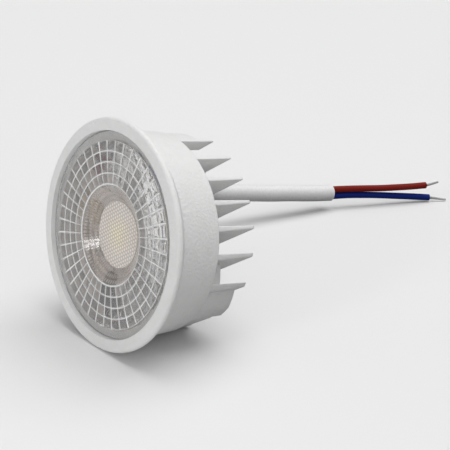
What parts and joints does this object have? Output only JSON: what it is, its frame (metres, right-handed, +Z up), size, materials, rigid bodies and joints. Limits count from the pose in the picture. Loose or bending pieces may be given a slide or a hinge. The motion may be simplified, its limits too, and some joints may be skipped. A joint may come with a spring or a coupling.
{
  "type": "led module",
  "caption": "Round white LED spot module with a faceted clear lens in a flared rim, parallel cooling fins at the back and a short two-core lead with bare ends.",
  "frame": {"origin": "on the table under the middle of the module's own box, without its lead", "axes": "+Z up from the table, -Y the way the lens faces (it looks up a little), +X to the right as seen from in front"},
  "size_m": [0.0694, 0.1403, 0.0494],
  "materials": {
    "white_coat": "matt white powder coat with a fine grain, on die-cast aluminium",
    "clear_acrylic": "clear polished acrylic",
    "grey_silicone": "soft grey heat pad",
    "board_white": "white solder mask on aluminium",
    "source_metal": "bright metal base",
    "dam_white": "white silicone",
    "phosphor_yellow": "yellow phosphor in silicone",
    "screw_steel": "zinc-plated steel",
    "fuse_tan": "moulded",
    "absorber_blue": "moulded",
    "chip_black": "moulded",
    "core_brown": "smooth vinyl",
    "core_blue": "smooth vinyl",
    "tinned": "tinned copper",
    "grommet_white": "white silicone rubber",
    "sheath_white": "smooth white vinyl"
  },
  "bodies": {
    "root": {"housing": "white_coat", "lens": "clear_acrylic", "heat_pad": "grey_silicone", "board": "board_white", "source_base": "source_metal", "source_dam": "dam_white", "source_phosphor": "phosphor_yellow", "board_screw_1": "screw_steel", "board_screw_2": "screw_steel", "fuse": "fuse_tan", "surge_absorber": "absorber_blue", "bridge_rectifier": "chip_black", "driver_chip": "chip_black", "sense_resistors": "chip_black", "live_tail": "core_brown", "neutral_tail": "core_blue", "solder_joints": "tinned", "grommet": "grommet_white", "sheath": "sheath_white", "live_core": "core_brown", "neutral_core": "core_blue", "live_strands": "tinned", "neutral_strands": "tinned"}
  },
  "joints": []
}
